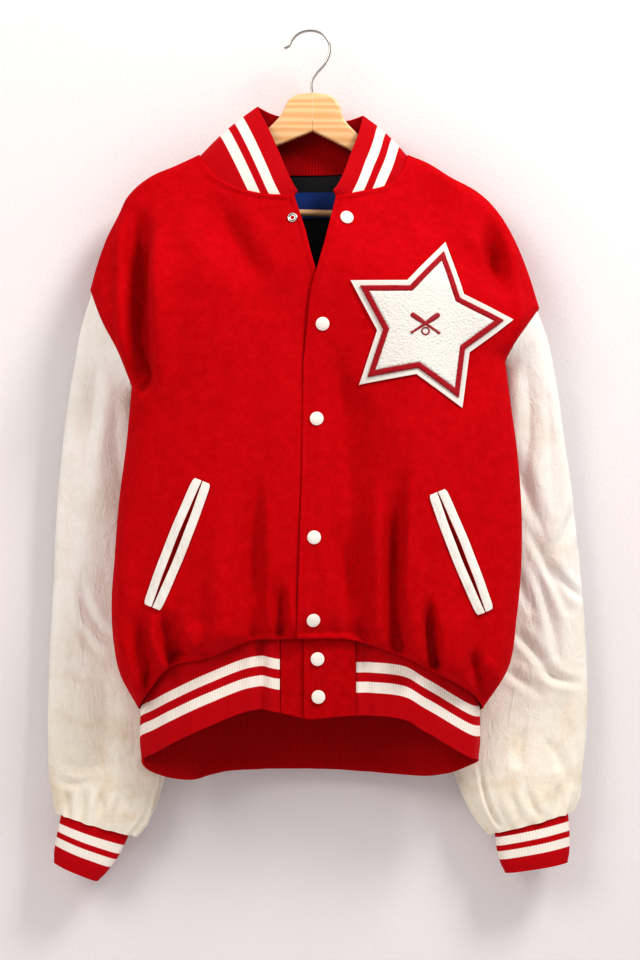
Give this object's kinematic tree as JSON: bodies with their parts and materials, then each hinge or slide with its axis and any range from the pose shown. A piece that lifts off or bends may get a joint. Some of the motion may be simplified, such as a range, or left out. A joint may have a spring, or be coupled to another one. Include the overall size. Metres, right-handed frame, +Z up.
{
  "type": "varsity jacket on a wooden hanger",
  "caption": "Snap-front varsity jacket with wool body, leather sleeves and striped rib-knit trim, hanging on a wooden clothes hanger.",
  "frame": {"origin": "inside of the top of the hanger's hook, where it hangs", "axes": "+Z up, +Y towards the wall behind the jacket's back, +X towards the wearer's left sleeve"},
  "size_m": [0.667, 0.1459, 1.0492],
  "materials": {
    "wool": "felted melton nap",
    "rib_knit": "rib knit with two white stripes",
    "leather": "creased, stained at the forearms",
    "welt_leather": "smooth",
    "lining": "satin",
    "label": "woven, blank",
    "felt": "felt",
    "chenille_red": "looped pile",
    "chenille_white": "looped pile",
    "snap_cap": "smooth",
    "steel": "plated",
    "wood": "clear varnish"
  },
  "bodies": {
    "root": {"front_right": "wool", "front_left": "wool", "back": "wool", "lining_back": "lining", "neck_label": "label", "collar_rib": "rib_knit", "waistband_rib": "rib_knit", "band_tab_right": "wool", "band_tab_left": "wool", "sleeve_right": "leather", "sleeve_left": "leather", "cuff_right": "rib_knit", "cuff_left": "rib_knit", "welt_right_outer": "welt_leather", "welt_right_inner": "welt_leather", "welt_left_outer": "welt_leather", "welt_left_inner": "welt_leather", "patch_felt": "felt", "patch_outline": "chenille_red", "patch_fill": "chenille_white", "snap_cap_1": "snap_cap", "snap_cap_2": "snap_cap", "snap_cap_3": "snap_cap", "snap_cap_4": "snap_cap", "snap_cap_5": "snap_cap", "snap_cap_6": "snap_cap", "snap_cap_7": "snap_cap", "snap_socket": "steel", "hanger_arm_right": "wood", "hanger_arm_left": "wood", "hanger_bar": "wood", "hanger_hook": "steel"}
  },
  "joints": []
}
